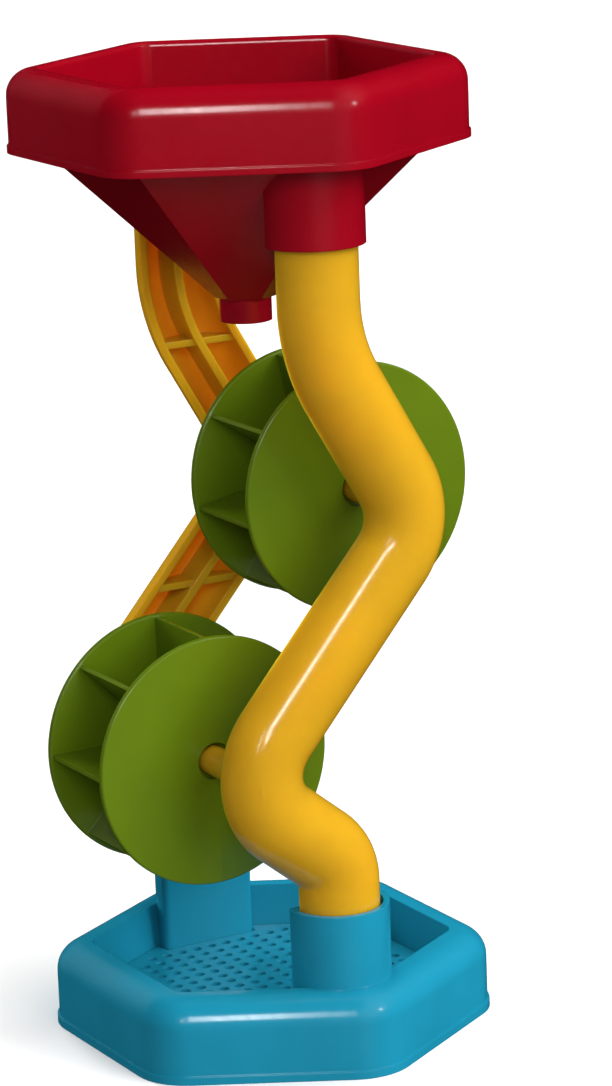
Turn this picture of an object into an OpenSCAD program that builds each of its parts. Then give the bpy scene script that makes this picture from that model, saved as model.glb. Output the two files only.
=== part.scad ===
// Sand wheel toy: a hopper on two wavy pillars pours sand over two paddle wheels into a sieve tray.
// Millimetres, +Z up, origin on the ground under the middle of the tray.
// The axles run along Y, the front pillar stands at -Y and the upper wheel lies towards +X.

/* [Base tray] */
// Width across the two side flats of the base
base_w = 113.3; // [104:1:120]
// Length across the two pointed ends of the base, before the corners are rounded
base_l = 130.8; // [126:0.2:136]
// Length of each side flat between the corners, before they are rounded
base_side_l = 65.4; // [62:0.2:70]
// Radius of the base's six corners in plan
base_corner_r = 16.5; // [15.5:0.5:18]
// Height of the base's rim
base_h = 23.7; // [20:0.1:30]
// Width of the rim from the outer wall to the tray
base_rim_w = 10.8; // [9:0.2:12]
// Round-over along the rim's outer edge
base_round_r = 8; // [6:0.5:9]
// Wall of the base moulding
base_wall = 2; // [1.6:0.1:2.4]
// How far the tray's inner wall leans in from the rim to the floor
base_lean = 1.6; // [0.5:0.1:1.8]
// Height of the sieve floor's upper face
floor_z = 11.5; // [9:0.5:14]
// Thickness of the sieve floor
floor_t = 2; // [1.4:0.1:2.6]
// Width of the ledge that carries the sieve floor
ledge_w = 1.6; // [1.2:0.1:1.8]
// Thickness of the ledge
ledge_t = 1.8; // [1.2:0.1:2.4]
// Clearance around the sieve floor
floor_clear = 0.2; // [0.1:0.05:0.4]
// Diameter of a sieve hole
sieve_d = 2.8; // [1.6:0.1:3.2]
// Least width of plate left around a sieve hole
sieve_edge = 0.8; // [0.6:0.1:2]
// Pitch of the square grid of sieve holes
sieve_pitch = 5; // [4:0.5:8]
// Height of the base bead along the ground
base_bead_h = 2.4; // [1:0.2:4]
// How far the base bead stands out of the wall
base_bead_out = 0.6; // [0.2:0.1:1]

/* [Pillar sockets] */
// Height of a socket's mouth above the rim
socket_rise = 21.4; // [14:0.2:26]
// Wall of a socket
socket_wall = 1.8; // [1.4:0.1:2.6]
// Gap between a pillar's round side and its socket
socket_gap = 0.9; // [0.4:0.1:1.4]
// Gap between a pillar's open side and the socket's flat wall
socket_flat_gap = 0.4; // [0.1:0.1:0.8]
// Rounding of the upright edges of the sockets and of the hopper's sleeves
socket_edge_r = 1.8; // [0.6:0.1:2]

/* [Pillars] */
// Distance from a pointed end of the base to the open side of the pillar there
pillar_end = 26.2; // [24:0.2:28]
// Outer radius of the half-round pillar
pillar_r = 12.3; // [11:0.1:12.6]
// Wall of the pillar
pillar_wall = 2.4; // [1.8:0.1:3]
// Thickness of the rib along the pillar
rib_t = 2.4; // [1.6:0.1:3.2]
// Thickness of the cross ribs
cross_rib_t = 2; // [1.4:0.1:3]
// Depth of the cross ribs below the open side
cross_rib_drop = 1.2; // [0.5:0.1:3]
// Sideways offset of each axle from the middle
axle_x = 25; // [20:0.2:28]
// Height of the lower axle above the rim of the base
lower_axle_rise = 61.8; // [56:0.2:70]
// Rise from the lower axle to the upper one
axle_rise = 71.9; // [68:0.1:84]
// How far the upper bend's corner lies beyond the upper axle
upper_bend_lead = 4.7; // [3:0.1:7]
// How far the lower bend's corner lies beyond the lower axle
lower_bend_lead = 6.5; // [4:0.1:8]
// How far the upper bend's corner lies below the upper axle
upper_bend_drop = 5; // [2:0.2:7]
// How far the lower bend's corner lies below the lower axle
lower_bend_drop = 2; // [0:0.2:4]
// Centre-line radius of the upper bend
upper_bend_r = 20; // [15:0.5:24]
// Centre-line radius of the lower bend
lower_bend_r = 18; // [15:0.5:22]
// Height of the top bend's corner above the upper axle
top_run = 47; // [40:0.5:52]
// Centre-line radius of the top bend
top_bend_r = 50; // [30:1:60]
// Height of the lower axle above the bottom bend's corner
bottom_run = 27.7; // [25:0.1:31]
// Centre-line radius of the bottom bend
bottom_bend_r = 13; // [12.6:0.2:18]

/* [Stub axles] */
// Radius of a stub axle
axle_r = 4.2; // [3:0.1:5]
// Running clearance between a stub axle and its hub, on the radius
axle_clear = 0.08; // [0.04:0.01:0.1]
// Depth to which a stub axle enters a wheel
axle_grip = 10; // [6:0.5:13]
// Play between a stub axle's tip and the end of its bore
tip_clear = 0.4; // [0.3:0.1:1]
// Rounding of a stub axle's tip
tip_r = 0.8; // [0.3:0.1:1.5]

/* [Wheels] */
// Radius of a wheel
wheel_r = 36.2; // [30:0.2:39]
// Width of a wheel over both discs
wheel_w = 33.5; // [28:0.5:40]
// Thickness of each disc
disc_t = 2; // [1.4:0.1:3]
// Rounding of the discs' edges
disc_edge_r = 0.7; // [0.2:0.1:1]
// Number of paddles on a wheel
paddle_count = 8; // [6:1:10]
// Thickness of a paddle
paddle_t = 1.3; // [1:0.1:2.4]
// How far the paddles' outer edges lie inside the discs' rims
paddle_inset = 0.8; // [0:0.1:3]
// Outer radius of the hub
hub_r = 7.2; // [6.4:0.1:9]
// Radius of the hole in each disc around the stub axle
disc_hole_r = 5.3; // [5:0.1:6]
// Wall of the cover disc's collar around the hub
collar_wall = 1.8; // [1:0.1:2.6]
// Depth of the cover disc's collar
collar_l = 4; // [2:0.5:8]
// Clearance between the collar and the hub
collar_clear = 0.1; // [0.05:0.05:0.3]
// Turn of the upper wheel at rest, in degrees
upper_phase = 11; // [0:1:44]
// Turn of the lower wheel at rest, in degrees
lower_phase = 0; // [0:1:44]

/* [Hopper] */
// Height of the spout's mouth above the upper axle
spout_drop = 49.4; // [44:0.2:60]
// Length of the round spout
spout_l = 6.6; // [4:0.2:12]
// Outer radius of the spout
spout_r = 7.4; // [6:0.1:9]
// Wall of the spout
spout_wall = 1.9; // [1.2:0.1:2.4]
// Height of the funnel between the spout and the tray
funnel_h = 46.1; // [42:0.2:54]
// Thickness of the funnel's wall, measured level
funnel_wall = 2.6; // [2:0.1:3.4]
// Depth of the hopper's upright inner wall
tray_depth = 20.5; // [14:0.1:26]
// Height of the hopper's outer skirt
skirt_h = 23.3; // [18:0.1:28]
// How far the hopper's sides stand out beyond the sides of the base
tray_overhang = 0.9; // [0:0.1:3]
// Radius of the hopper's six corners in plan
tray_corner_r = 14; // [12:0.5:18]
// Width of the hopper's rim
tray_rim_w = 9.4; // [8:0.2:11]
// Round-over along the rim's outer edge
tray_round_r = 7.7; // [4:0.1:8]
// Round-over along the rim's inner edge
tray_inner_round_r = 1.5; // [1:0.1:3]
// Wall of the hopper's rim
tray_wall = 2; // [1.6:0.1:2.6]
// Height of the skirt bead
skirt_bead_h = 2; // [1:0.1:3]
// How far the skirt bead stands out
skirt_bead_out = 0.5; // [0.2:0.1:1]
// Width of the small step where the funnel meets the upright wall
funnel_step = 0.8; // [0.6:0.1:1.4]
// Length of the sleeves below the skirt
sleeve_l = 23; // [18:0.1:28]
// Wall of a sleeve
sleeve_wall = 1.9; // [1.2:0.1:2.4]
// Clearance between a pillar and its sleeve
sleeve_clear = 0.3; // [0.1:0.05:0.6]

/* [Hidden] */

$fn = 96;
overrun = 1;
// Straight runs are this much slimmer than the bends they run into, and reach this far into them
seam = 0.02;
lap = 0.3;
// Thickness of the plates that a taper is drawn between
slice = 0.01;
// Turn of each flat that the rim's inner round-over is made of, in degrees
lip_step = 22.5;
blue = [0.10, 0.52, 0.72];
yellow = [0.96, 0.66, 0.06];
green = [0.42, 0.58, 0.06];
red = [0.72, 0.03, 0.10];

// Heights, from the ground up
seat_z = floor_z - floor_t;
ledge_z = seat_z - ledge_t;
socket_top_z = base_h + socket_rise;
lower_axle_z = base_h + lower_axle_rise;
upper_axle_z = lower_axle_z + axle_rise;
spout_z = upper_axle_z + spout_drop;
funnel_z = spout_z + spout_l;
funnel_top_z = funnel_z + funnel_h;
tray_top_z = funnel_top_z + tray_depth;
skirt_z = tray_top_z - skirt_h;
sleeve_z = skirt_z - sleeve_l;

// A six-sided outline is [half width, half length, lean of the end flats, corner radius].
function outline(w, l, side_l, corner_r) = [w / 2, l / 2, atan2(l - side_l, w), corner_r];
base_outline = outline(base_w, base_l, base_side_l, base_corner_r);
pillar_y = base_l / 2 - pillar_end;

// Distance from the middle to an end flat
function end_apothem(o) = o[1] * cos(o[2]);
// The outline moved in by a distance, with its corner radius reduced
function inset(o, d) = [o[0] - d, o[1] - d / cos(o[2]), o[2], o[3] - d];
tray_plan = inset(base_outline, -tray_overhang);
tray_outline = [tray_plan[0], tray_plan[1], tray_plan[2], tray_corner_r];
// Six corners of an outline, counter-clockwise from the +X side
function corners(o) = let (s = o[1] - o[0] * tan(o[2]))
    [[o[0], s], [0, o[1]], [-o[0], s], [-o[0], -s], [0, -o[1]], [o[0], -s]];
// Directions that the flats face, one more than there are flats so that the last repeats the first
function facings(o) =
    [0, 90 - o[2], 90 + o[2], 180, 270 - o[2], 270 + o[2], 360];
// A point at a distance along a direction in plan
function polar(d, a) = [d * cos(a), d * sin(a)];

// Pillar centre line in the XZ plane, from the top down, with a bend radius at each corner
pillar_path = [
    [0, funnel_top_z],
    [0, upper_axle_z + top_run],
    [axle_x + upper_bend_lead, upper_axle_z - upper_bend_drop],
    [-axle_x - lower_bend_lead, lower_axle_z - lower_bend_drop],
    [0, lower_axle_z - bottom_run],
    [0, floor_z]
];
bend_radii = [0, top_bend_r, upper_bend_r, lower_bend_r, bottom_bend_r, 0];
last_run = len(pillar_path) - 2;

// Angle of run i from straight down, towards +X
function run_angle(i) = let (step = pillar_path[i + 1] - pillar_path[i]) atan2(step[0], -step[1]);
function bend_turn(i) = run_angle(i) - run_angle(i - 1);
// Length that bend i takes from the runs on either side
function bend_cut(i) = bend_radii[i] > 0 ? bend_radii[i] * tan(abs(bend_turn(i)) / 2) : 0;
function run_length(i) = norm(pillar_path[i + 1] - pillar_path[i]) - bend_cut(i) - bend_cut(i + 1);

// Cross ribs lie midway between an axle and its neighbour
cross_rib_zs = [
    upper_axle_z + axle_rise / 2,
    upper_axle_z - axle_rise / 2,
    lower_axle_z - axle_rise / 2
];

// Funnel: half width and end apothem at its top, outside and inside
funnel_top = inset(tray_outline, tray_rim_w + funnel_step);
funnel_in_w = funnel_top[0];
funnel_in_a = end_apothem(funnel_top);
funnel_out_w = funnel_in_w + funnel_wall;
funnel_out_a = funnel_in_a + funnel_wall;
spout_bore_r = spout_r - spout_wall;
funnel_pitch = funnel_h / (funnel_out_w - spout_r);
funnel_in_z = funnel_top_z - (funnel_in_w - spout_bore_r) * funnel_pitch;

hub_end_y = wheel_w / 2 - disc_t;
axle_tip_y = wheel_w / 2 - axle_grip;
bore_r = axle_r + axle_clear;
bore_end_y = axle_tip_y - tip_clear;

// Turns a drawing so that it reads across X and up Z
module upright() {
    rotate([90, 0, 0])
    children();
}

// Copies children at both ends, turned half round for the rear one
module both_ends() {
    for (turn = [0, 180]) {
        rotate([0, 0, turn])
        children();
    }
}

// Rounded six-sided plate, drawn in plan
module outline_plate(o) {
    middles = corners(inset(o, o[3]));
    faces = facings(o);
    polygon([for (i = [0 : 5]) for (a = [faces[i], faces[i + 1]]) middles[i] + polar(o[3], a)]);
    for (middle = middles) {
        translate(middle)
        circle(o[3]);
    }
}

// Six-sided block with rounded corners and its upper edge rounded over
module outline_block(o, h, round_r) {
    hull()
    for (middle = corners(inset(o, o[3]))) {
        translate(middle)
        rotate_extrude($fn = 64) {
            square([o[3], h - round_r]);
            square([o[3] - round_r, h]);
            translate([o[3] - round_r, h - round_r])
            intersection() {
                circle(round_r, $fn = 40);
                square(round_r);
            }
        }
    }
}

// Space between two six-sided plates, the first one at the lower height
module outline_taper(low, z_low, high, z_high) {
    hull() {
        translate([0, 0, z_low])
        linear_extrude(slice)
        outline_plate(low);
        translate([0, 0, z_high])
        linear_extrude(slice)
        outline_plate(high);
    }
}

// Half-round outline in plan at the front end, its straight side shifted inwards by a distance and its corners rounded
module d_shape(r, shift, edge_r = 0) {
    translate([0, -pillar_y]) {
        intersection() {
            circle(r);
            translate([-r, -r])
            square([2 * r, r]);
        }
        translate([-r, 0])
        square([2 * r, shift - edge_r]);
        translate([edge_r - r, 0])
        square([2 * (r - edge_r), shift]);
        if (edge_r > 0) {
            for (x = [edge_r - r, r - edge_r]) {
                translate([x, shift - edge_r])
                circle(edge_r);
            }
        }
    }
}

module socket_outside() {
    d_shape(pillar_r + socket_gap + socket_wall, socket_flat_gap + socket_wall, socket_edge_r);
}

module socket_inside() {
    d_shape(pillar_r + socket_gap, socket_flat_gap);
}

// Space inside the rim of the base, under its top
module base_hollow() {
    difference() {
        translate([0, 0, -overrun])
        outline_block(inset(base_outline, base_wall), base_h - base_wall + overrun, base_round_r - base_wall);
        translate([0, 0, ledge_z])
        linear_extrude(base_h)
        outline_plate(inset(base_outline, base_rim_w - base_wall));
    }
}

module base_tray() {
    color(blue)
    difference() {
        union() {
            difference() {
                union() {
                    outline_block(base_outline, base_h, base_round_r);
                    linear_extrude(base_bead_h)
                    outline_plate(inset(base_outline, -base_bead_out));
                }
                base_hollow();
                outline_taper(
                    inset(base_outline, base_rim_w + base_lean), seat_z,
                    inset(base_outline, base_rim_w), base_h
                );
                translate([0, 0, ledge_z - overrun])
                linear_extrude(ledge_t + 2 * overrun)
                outline_plate(inset(base_outline, base_rim_w + base_lean + ledge_w));
            }
            both_ends()
            translate([0, 0, ledge_z])
            linear_extrude(socket_top_z - ledge_z)
            socket_outside();
        }
        both_ends()
        translate([0, 0, floor_z])
        linear_extrude(socket_top_z - floor_z + overrun)
        socket_inside();
    }
}

// True where a whole sieve hole fits on the floor, clear of its edge and of the sockets
function sieve_fits(x, y) =
    let (keep = sieve_d / 2 + sieve_edge)
    let (plate = inset(base_outline, base_rim_w + base_lean + ledge_w + keep))
    let (socket_r = pillar_r + socket_gap + socket_wall + keep)
    let (socket_y = pillar_y - socket_flat_gap - socket_wall - keep)
    abs(x) < plate[0]
    && abs(x) * sin(plate[2]) + abs(y) * cos(plate[2]) < end_apothem(plate)
    && (abs(y) < socket_y || abs(x) > socket_r);

sieve_rows = floor(base_l / sieve_pitch / 2);

module sieve_floor() {
    plate = inset(base_outline, base_rim_w + base_lean + floor_clear);
    color(blue)
    translate([0, 0, seat_z])
    linear_extrude(floor_t)
    difference() {
        outline_plate(plate);
        both_ends()
        d_shape(pillar_r + socket_gap + socket_wall + floor_clear, socket_flat_gap + socket_wall + floor_clear);
        for (i = [-sieve_rows : sieve_rows - 1]) {
            for (j = [-sieve_rows : sieve_rows - 1]) {
                spot = [(i + 1 / 2) * sieve_pitch, (j + 1 / 2) * sieve_pitch];
                if (sieve_fits(spot[0], spot[1])) {
                    translate(spot)
                    circle(d = sieve_d, $fn = 32);
                }
            }
        }
    }
}

// Sweeps a section down the wavy centre line from run i on, each run and bend starting where the last one ends.
// The section's X runs across the pillar and its Y out to the back.
// The first child is the section of the bends and the second is the slimmer one of the straight runs.
module pillar_sweep(i = 0) {
    lead = i > 0 ? lap : 0;
    tail = i < last_run ? lap : 0;
    translate([0, 0, -lead])
    linear_extrude(run_length(i) + lead + tail)
    children(1);
    if (i < last_run) {
        turn = bend_turn(i + 1);
        reach = turn > 0 ? bend_radii[i + 1] : -bend_radii[i + 1];
        translate([reach, 0, run_length(i)]) {
            rotate([90, 0, turn > 0 ? 180 : 0])
            rotate_extrude(angle = abs(turn))
            translate([abs(reach), 0])
            mirror([0, turn > 0 ? 0 : 1])
            children(0);
            rotate([0, turn, 0])
            translate([-reach, 0, 0])
            pillar_sweep(i + 1) {
                children(0);
                children(1);
            }
        }
    }
}

// Stands a sweep at the top of the centre line, running down
module hang() {
    translate([0, -pillar_y, funnel_top_z])
    rotate([180, 0, 0])
    children();
}

// Upper half of a disc, slimmer all round by a little
module half_disc(r, slim) {
    intersection() {
        circle(r - slim);
        translate([-r, slim])
        square([2 * r, r]);
    }
}

// Half-round channel with one rib along its middle
module channel_section(slim) {
    difference() {
        half_disc(pillar_r, slim);
        circle(pillar_r - pillar_wall + slim);
    }
    translate([slim - rib_t / 2, slim])
    square([rib_t - 2 * slim, pillar_r - pillar_wall / 2]);
}

// Level ribs that fill the channel, a little below its open side
module cross_ribs() {
    intersection() {
        hang()
        pillar_sweep() {
            half_disc(pillar_r - pillar_wall / 2, 0);
            half_disc(pillar_r - pillar_wall / 2, seam);
        }
        for (z = cross_rib_zs) {
            translate([-wheel_r - pillar_r, -pillar_y - 2 * pillar_r - cross_rib_drop, z - cross_rib_t / 2])
            cube([2 * (wheel_r + pillar_r), 2 * pillar_r, cross_rib_t]);
        }
    }
}

// Stub axle from the back of the channel into the hub, with a rounded tip
module stub_axle() {
    back = pillar_y + pillar_r - pillar_wall / 2;
    upright()
    rotate_extrude() {
        translate([0, axle_tip_y + tip_r])
        square([axle_r, back - axle_tip_y - tip_r]);
        translate([0, axle_tip_y])
        square([axle_r - tip_r, tip_r + overrun]);
        translate([axle_r - tip_r, axle_tip_y + tip_r])
        circle(tip_r);
    }
}

// Pillar that stands at -Y, cut to the slope of the funnel that rests on it
module pillar() {
    difference() {
        union() {
            hang()
            pillar_sweep() {
                channel_section(0);
                channel_section(seam);
            }
            cross_ribs();
            translate([axle_x, 0, upper_axle_z])
            stub_axle();
            translate([-axle_x, 0, lower_axle_z])
            stub_axle();
        }
        funnel_outside();
    }
}

module front_pillar() {
    color(yellow)
    pillar();
}

module rear_pillar() {
    color(yellow)
    mirror([0, 1, 0])
    pillar();
}

// Disc in the XZ plane from y = 0 towards +Y, with rounded edges and a hole for the stub axle
module wheel_disc() {
    mirror([0, 1, 0])
    upright()
    rotate_extrude()
    difference() {
        union() {
            square([wheel_r - disc_edge_r, disc_t]);
            translate([0, disc_edge_r])
            square([wheel_r, disc_t - 2 * disc_edge_r]);
            for (y = [disc_edge_r, disc_t - disc_edge_r]) {
                translate([wheel_r - disc_edge_r, y])
                circle(disc_edge_r);
            }
        }
        translate([0, -overrun])
        square([disc_hole_r, disc_t + 2 * overrun]);
    }
}

// Paddles between the discs, cut back where the cover disc's collar goes
module paddles() {
    difference() {
        for (i = [0 : paddle_count - 1]) {
            rotate([0, -360 * i / paddle_count, 0])
            translate([0, -hub_end_y, -paddle_t / 2])
            cube([wheel_r - paddle_inset, 2 * hub_end_y + disc_t / 2, paddle_t]);
        }
        translate([0, collar_l + collar_clear - hub_end_y, 0])
        upright()
        cylinder(r = hub_r + 2 * collar_clear + collar_wall, h = collar_l + collar_clear + overrun);
    }
}

// Rotor: rear disc, paddles and hub with a blind bore from each end
module rotor(phase) {
    rotate([0, -phase, 0])
    difference() {
        union() {
            translate([0, hub_end_y, 0])
            wheel_disc();
            paddles();
            translate([0, hub_end_y + disc_t / 2, 0])
            upright()
            cylinder(r = hub_r, h = 2 * hub_end_y + disc_t / 2);
        }
        for (side = [0, 1]) {
            mirror([0, side, 0])
            translate([0, -bore_end_y, 0])
            upright()
            cylinder(r = bore_r, h = wheel_w);
        }
        translate([0, wheel_w, 0])
        upright()
        cylinder(r = disc_hole_r, h = wheel_w - hub_end_y);
    }
}

// Cover: front disc with a collar that slips over the hub
module cover(phase) {
    rotate([0, -phase, 0]) {
        translate([0, -wheel_w / 2, 0])
        wheel_disc();
        translate([0, collar_l - hub_end_y, 0])
        upright()
        difference() {
            cylinder(r = hub_r + collar_clear + collar_wall, h = collar_l + disc_t / 2);
            translate([0, 0, -overrun])
            cylinder(r = hub_r + collar_clear, h = collar_l + overrun);
            cylinder(r = disc_hole_r, h = collar_l + disc_t);
        }
    }
}

module upper_rotor() {
    color(green)
    translate([axle_x, 0, upper_axle_z])
    rotor(upper_phase);
}

module upper_cover() {
    color(green)
    translate([axle_x, 0, upper_axle_z])
    cover(upper_phase);
}

module lower_rotor() {
    color(green)
    translate([-axle_x, 0, lower_axle_z])
    rotor(lower_phase);
}

module lower_cover() {
    color(green)
    translate([-axle_x, 0, lower_axle_z])
    cover(lower_phase);
}

// Six-sided pyramid stump between two heights, given its half widths and end apothems
module stump(z_low, w_low, a_low, z_high, w_high, a_high) {
    lean = tray_outline[2];
    low = corners([w_low, a_low / cos(lean), lean]);
    high = corners([w_high, a_high / cos(lean), lean]);
    polyhedron(
        points = concat([for (p = low) [p[0], p[1], z_low]], [for (p = high) [p[0], p[1], z_high]]),
        faces = concat(
            [[for (i = [0 : 5]) i]],
            [[for (i = [5 : -1 : 0]) i + 6]],
            [for (i = [0 : 5]) [i, i + 6, (i + 1) % 6 + 6, (i + 1) % 6]]
        )
    );
}

module funnel_outside() {
    stump(funnel_z, spout_r, spout_r, funnel_top_z, funnel_out_w, funnel_out_a);
}

module funnel_inside() {
    stump(funnel_in_z, spout_bore_r, spout_bore_r, funnel_top_z, funnel_in_w, funnel_in_a);
}

// Space inside the rim of the hopper, under its top
module tray_hollow() {
    difference() {
        translate([0, 0, skirt_z - overrun])
        outline_block(inset(tray_outline, tray_wall), skirt_h - tray_wall + overrun, tray_round_r - tray_wall);
        translate([0, 0, funnel_top_z - tray_wall])
        linear_extrude(skirt_h)
        outline_plate(inset(tray_outline, tray_rim_w - tray_wall));
    }
}

// Space inside the hopper above its funnel, with the rim's inner edge rounded over
module tray_inside() {
    lip_d = tray_rim_w - tray_inner_round_r;
    lip_z = tray_top_z - tray_inner_round_r;
    translate([0, 0, funnel_top_z])
    linear_extrude(tray_depth + overrun)
    outline_plate(inset(tray_outline, tray_rim_w));
    for (a = [0 : lip_step : 90 - lip_step]) {
        low = polar(tray_inner_round_r, a);
        high = polar(tray_inner_round_r, a + lip_step);
        outline_taper(
            inset(tray_outline, lip_d + low[0]), lip_z + low[1],
            inset(tray_outline, lip_d + high[0]), lip_z + high[1]
        );
    }
}

module sleeve() {
    difference() {
        translate([0, 0, sleeve_z])
        linear_extrude(skirt_z - sleeve_z)
        d_shape(pillar_r + sleeve_clear + sleeve_wall, sleeve_clear + sleeve_wall, socket_edge_r);
        translate([0, 0, sleeve_z - overrun])
        linear_extrude(skirt_z - sleeve_z + 2 * overrun)
        d_shape(pillar_r + sleeve_clear, sleeve_clear);
    }
}

module hopper() {
    color(red)
    difference() {
        union() {
            difference() {
                translate([0, 0, skirt_z]) {
                    outline_block(tray_outline, skirt_h, tray_round_r);
                    linear_extrude(skirt_bead_h)
                    outline_plate(inset(tray_outline, -skirt_bead_out));
                }
                tray_hollow();
                tray_inside();
            }
            funnel_outside();
            translate([0, 0, spout_z])
            cylinder(r = spout_r, h = spout_l + spout_wall);
            both_ends()
            sleeve();
        }
        funnel_inside();
        translate([0, 0, spout_z - overrun])
        cylinder(r = spout_bore_r, h = funnel_in_z - spout_z + 2 * overrun);
    }
}

base_tray();
sieve_floor();
front_pillar();
rear_pillar();
upper_rotor();
upper_cover();
lower_rotor();
lower_cover();
hopper();
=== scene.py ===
import math

import bpy
from mathutils import Matrix, Vector

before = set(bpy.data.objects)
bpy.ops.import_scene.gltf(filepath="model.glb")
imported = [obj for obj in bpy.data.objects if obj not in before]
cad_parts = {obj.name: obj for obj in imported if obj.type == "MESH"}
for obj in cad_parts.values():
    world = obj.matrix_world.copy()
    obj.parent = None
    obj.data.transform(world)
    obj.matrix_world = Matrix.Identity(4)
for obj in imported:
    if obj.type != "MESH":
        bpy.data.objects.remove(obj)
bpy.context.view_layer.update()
scene = bpy.context.scene

# Viewpoint: the camera's angles, its distance in metres, the height and offset of the point it
# looks at, and its focal length in pixels of an image of the given height
CAMERA_AZ = math.radians(-29.82)
CAMERA_EL = math.radians(13.99)
CAMERA_ROLL = math.radians(-2.12)
CAMERA_DIST = 1.17654
AIM_HEIGHT = 0.14
AIM_RIGHT = 0.01444
AIM_UP = 0.00176
FOCAL_PIXELS = 4119.71
IMAGE_HEIGHT = 1086
SENSOR = 36.0
CLIP_NEAR = 0.01
CLIP_FAR = 50
MIDDLE = Vector((0, 0, AIM_HEIGHT))

# Colour, roughness and share of light scattered under the surface, by the material's name
PLASTICS = {
    "red_plastic": ((0.245, 0.0008, 0.0070), 0.20, 0.0),
    "yellow_plastic": ((0.540, 0.296, 0.0110), 0.17, 0.7),
    "green_plastic": ((0.088, 0.144, 0.0035), 0.24, 0.0),
    "blue_plastic": ((0.0080, 0.203, 0.312), 0.19, 0.0),
}
PLASTIC_IOR = 1.49
# How far red, green and blue light travel under the surface, as shares of the reach in metres
SCATTER_SHARES = (1.0, 0.65, 0.15)
SCATTER_REACH = 0.008

# Scale per metre, detail and roughness of the noises in the plastic
CLOUDS = (34.0, 3.0, 0.55)
GRAIN = (2600.0, 2.0, 0.6)
WAVES = (95.0, 1.0, 0.4)
SMEARS = (420.0, 4.0, 0.65)
# Part of a noise's range that is used
NOISE_LOW = 0.3
NOISE_HIGH = 0.7
# Brightness of the darkest and lightest clouds, and the smears' drop and rise in roughness
CLOUD_DARK = 0.93
CLOUD_LIGHT = 1.06
SMEAR_DROP = 0.025
SMEAR_RISE = 0.03
# Strength and depth in metres of the pits and of the wavy faces
PITS = (0.06, 0.00004)
SWELLS = (0.08, 0.0004)
# Radius in metres that softens the look of hard edges
EDGE_RADIUS = 0.0005
EDGE_SAMPLES = 6

# Corners closer than this are joined, and edges flatter than the angle are shaded smooth
JOIN_DISTANCE = 0.000004
SMOOTH_ANGLE = math.radians(28)

# Lights that show as highlights: angles in plan and above the ground, size in metres and watts
SOFTBOX_DIST = 1.7
SOFTBOXES = {
    "strip": (239, 27, (0.10, 0.60), 7.4),
    "slit": (225, 22, (0.03, 0.5), 1.4),
    "glint": (300, 24, (0.10, 0.25), 2.0),
}
# Broad lights: angles in plan and above the ground, spread in degrees and power
DAYLIGHT_DIST = 2.0
DAYLIGHTS = {
    "window": (290, 33, 55, 2.3),
    "skylight": (338, 50, 60, 2.5),
    "fill": (264, 7, 50, 1.0),
    "rear": (94, 13, 50, 6.5),
}
# Light from all around, brighter below the horizon, with the half width of the change between
SKY_COLOUR = (0.95, 0.97, 1.0, 1.0)
SKY_BELOW = 0.42
SKY_ABOVE = 0.15
SKY_BLEND = 0.15

# Half the floor's width in metres, its two greys, the scale of their noise and the roughness
FLOOR_REACH = 12.0
PAPER_DARK = (0.81, 0.81, 0.81, 1.0)
PAPER_LIGHT = (0.84, 0.84, 0.84, 1.0)
PAPER_SCALE = 9.0
PAPER_ROUGH = 0.9


def set_inputs(node, **values):
    """Sets a node's sockets by name, with underscores for spaces."""
    for name, value in values.items():
        node.inputs[name.replace("_", " ")].default_value = value


class Graph:
    """A small helper around one node tree."""

    def __init__(self, tree):
        self.tree = tree
        tree.nodes.clear()

    def add(self, kind, **settings):
        node = self.tree.nodes.new(kind)
        for name, value in settings.items():
            setattr(node, name, value)
        return node

    def link(self, source, target):
        self.tree.links.new(source, target)

    def noise(self, place, scale, detail=2.0, rough=0.5):
        node = self.add("ShaderNodeTexNoise")
        set_inputs(node, Scale=scale, Detail=detail, Roughness=rough)
        self.link(place, node.inputs["Vector"])
        return node.outputs["Fac"]

    def spread(self, value, low, high):
        """Maps the middle of a noise's range onto low to high."""
        node = self.add("ShaderNodeMapRange")
        set_inputs(node, From_Min=NOISE_LOW, From_Max=NOISE_HIGH, To_Min=low, To_Max=high)
        self.link(value, node.inputs["Value"])
        return node.outputs["Result"]

    def bump(self, height, strength, depth, normal):
        """Tilts a normal by a height."""
        node = self.add("ShaderNodeBump")
        set_inputs(node, Strength=strength, Distance=depth)
        self.link(height, node.inputs["Height"])
        self.link(normal, node.inputs["Normal"])
        return node.outputs["Normal"]


def moulded_plastic(name, colour, rough, scatter):
    """Glossy injection-moulded plastic: faint flow clouds, tiny pits and slightly wavy faces."""
    material = bpy.data.materials.new(name)
    material.use_nodes = True
    g = Graph(material.node_tree)
    place = g.add("ShaderNodeTexCoord").outputs["Object"]
    shader = g.add("ShaderNodeBsdfPrincipled")
    output = g.add("ShaderNodeOutputMaterial")
    g.link(shader.outputs["BSDF"], output.inputs["Surface"])

    tint = g.add("ShaderNodeMix", data_type="RGBA")
    tint.inputs["A"].default_value = [*[c * CLOUD_DARK for c in colour], 1.0]
    tint.inputs["B"].default_value = [*[c * CLOUD_LIGHT for c in colour], 1.0]
    g.link(g.spread(g.noise(place, *CLOUDS), 0.0, 1.0), tint.inputs["Factor"])
    g.link(tint.outputs["Result"], shader.inputs["Base Color"])
    smears = g.noise(place, *SMEARS)
    g.link(g.spread(smears, rough - SMEAR_DROP, rough + SMEAR_RISE), shader.inputs["Roughness"])

    edge = g.add("ShaderNodeBevel", samples=EDGE_SAMPLES)
    edge.inputs["Radius"].default_value = EDGE_RADIUS
    pitted = g.bump(g.noise(place, *GRAIN), *PITS, edge.outputs["Normal"])
    wavy = g.bump(g.noise(place, *WAVES), *SWELLS, pitted)
    g.link(wavy, shader.inputs["Normal"])

    set_inputs(
        shader,
        IOR=PLASTIC_IOR,
        Subsurface_Weight=scatter,
        Subsurface_Radius=SCATTER_SHARES,
        Subsurface_Scale=SCATTER_REACH,
    )
    return material


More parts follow.
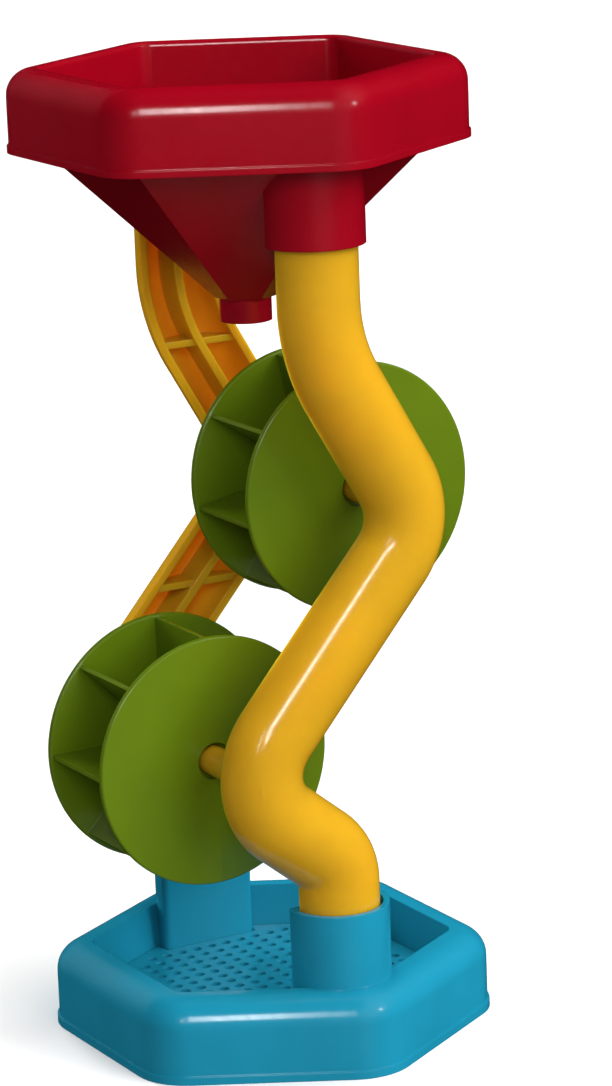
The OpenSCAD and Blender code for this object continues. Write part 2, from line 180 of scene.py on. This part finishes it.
def smooth_group():
    """Modifier tree that joins split corners and shades the faces smooth up to an edge angle."""
    tree = bpy.data.node_groups.new("smooth_up_to_angle", "GeometryNodeTree")
    for way in ("INPUT", "OUTPUT"):
        tree.interface.new_socket("Geometry", in_out=way, socket_type="NodeSocketGeometry")
    g = Graph(tree)
    bare = g.add("GeometryNodeRemoveAttribute")
    bare.inputs["Name"].default_value = "custom_normal"
    join = g.add("GeometryNodeMergeByDistance")
    join.inputs["Distance"].default_value = JOIN_DISTANCE
    faces = g.add("GeometryNodeSetShadeSmooth", domain="FACE")
    edges = g.add("GeometryNodeSetShadeSmooth", domain="EDGE")
    measure = g.add("GeometryNodeInputMeshEdgeAngle")
    shallow = g.add("FunctionNodeCompare", data_type="FLOAT", operation="LESS_THAN")
    shallow.inputs["B"].default_value = SMOOTH_ANGLE
    g.link(measure.outputs["Unsigned Angle"], shallow.inputs["A"])
    g.link(shallow.outputs["Result"], edges.inputs["Shade Smooth"])
    chain = [g.add("NodeGroupInput"), bare, join, faces, edges, g.add("NodeGroupOutput")]
    for before, after in zip(chain, chain[1:]):
        g.link(before.outputs["Geometry"], after.inputs["Geometry"])
    return tree


def aim(obj, place):
    """Puts an object at a place, facing the middle of the toy."""
    obj.location = place
    obj.rotation_mode = "QUATERNION"
    obj.rotation_quaternion = (MIDDLE - place).to_track_quat("-Z", "Y")


def from_middle(angle, height, dist):
    """Point seen from the middle of the toy, angles in degrees in plan and above the ground."""
    a, e = math.radians(angle), math.radians(height)
    ray = Vector((math.cos(a) * math.cos(e), math.sin(a) * math.cos(e), math.sin(e)))
    return MIDDLE + dist * ray


def add_light(name, kind, place, power):
    """Light at a place that faces the middle of the toy."""
    data = bpy.data.lights.new(name, kind)
    data.energy = power
    light = bpy.data.objects.new(name, data)
    scene.collection.objects.link(light)
    aim(light, place)
    return light


dressed = {
    name: moulded_plastic(name + "_moulded", *look) for name, look in PLASTICS.items()
}
smooth = smooth_group()
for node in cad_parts.values():
    for held in node.material_slots:
        held.material = dressed[held.material.name.split(".")[0]]
    node.modifiers.new("smooth", "NODES").node_group = smooth

for name, (angle, height, size, watts) in SOFTBOXES.items():
    lamp = add_light(name, "AREA", from_middle(angle, height, SOFTBOX_DIST), watts)
    lamp.data.shape = "RECTANGLE"
    lamp.data.size, lamp.data.size_y = size

# The broad lights leave no reflection of their own
for name, (angle, height, spread, power) in DAYLIGHTS.items():
    lamp = add_light(name, "SUN", from_middle(angle, height, DAYLIGHT_DIST), power)
    lamp.data.angle = math.radians(spread)
    lamp.visible_glossy = False

world = bpy.data.worlds.new("studio")
scene.world = world
world.use_nodes = True
g = Graph(world.node_tree)
sky = g.add("ShaderNodeBackground")
sky.inputs["Color"].default_value = SKY_COLOUR
ray = g.add("ShaderNodeSeparateXYZ")
g.link(g.add("ShaderNodeTexCoord").outputs["Generated"], ray.inputs["Vector"])
fade = g.add("ShaderNodeMapRange")
set_inputs(fade, From_Min=-SKY_BLEND, From_Max=SKY_BLEND, To_Min=SKY_BELOW, To_Max=SKY_ABOVE)
g.link(ray.outputs["Z"], fade.inputs["Value"])
g.link(fade.outputs["Result"], sky.inputs["Strength"])
g.link(sky.outputs["Background"], g.add("ShaderNodeOutputWorld").inputs["Surface"])
world.cycles_visibility.glossy = False

corners = [(-1, -1), (1, -1), (1, 1), (-1, 1)]
floor_mesh = bpy.data.meshes.new("floor")
floor_mesh.from_pydata(
    [(x * FLOOR_REACH, y * FLOOR_REACH, 0) for x, y in corners], [], [range(len(corners))]
)
floor = bpy.data.objects.new("floor", floor_mesh)
scene.collection.objects.link(floor)
paper = bpy.data.materials.new("floor_paper")
paper.use_nodes = True
g = Graph(paper.node_tree)
place = g.add("ShaderNodeTexCoord").outputs["Object"]
shader = g.add("ShaderNodeBsdfPrincipled")
g.link(shader.outputs["BSDF"], g.add("ShaderNodeOutputMaterial").inputs["Surface"])
tint = g.add("ShaderNodeMix", data_type="RGBA")
tint.inputs["A"].default_value = PAPER_DARK
tint.inputs["B"].default_value = PAPER_LIGHT
g.link(g.noise(place, PAPER_SCALE), tint.inputs["Factor"])
g.link(tint.outputs["Result"], shader.inputs["Base Color"])
shader.inputs["Roughness"].default_value = PAPER_ROUGH
floor_mesh.materials.append(paper)
# The floor throws no light or reflection back onto the toy, so that its colours stay deep
floor.visible_glossy = False
floor.visible_diffuse = False

back = Vector((
    math.sin(CAMERA_AZ) * math.cos(CAMERA_EL),
    -math.cos(CAMERA_AZ) * math.cos(CAMERA_EL),
    math.sin(CAMERA_EL),
))
level = Vector((math.cos(CAMERA_AZ), math.sin(CAMERA_AZ), 0))
rise = back.cross(level)
right = level * math.cos(CAMERA_ROLL) + rise * math.sin(CAMERA_ROLL)
up = rise * math.cos(CAMERA_ROLL) - level * math.sin(CAMERA_ROLL)
camera_data = bpy.data.cameras.new("camera")
camera_data.sensor_width = SENSOR
camera_data.lens = FOCAL_PIXELS * SENSOR / IMAGE_HEIGHT
camera_data.clip_start = CLIP_NEAR
camera_data.clip_end = CLIP_FAR
camera = bpy.data.objects.new("camera", camera_data)
scene.collection.objects.link(camera)
camera.matrix_world = Matrix((right, up, back)).transposed().to_4x4()
camera.location = MIDDLE + right * AIM_RIGHT + up * AIM_UP + back * CAMERA_DIST
scene.camera = camera
scene.view_settings.view_transform = "Standard"
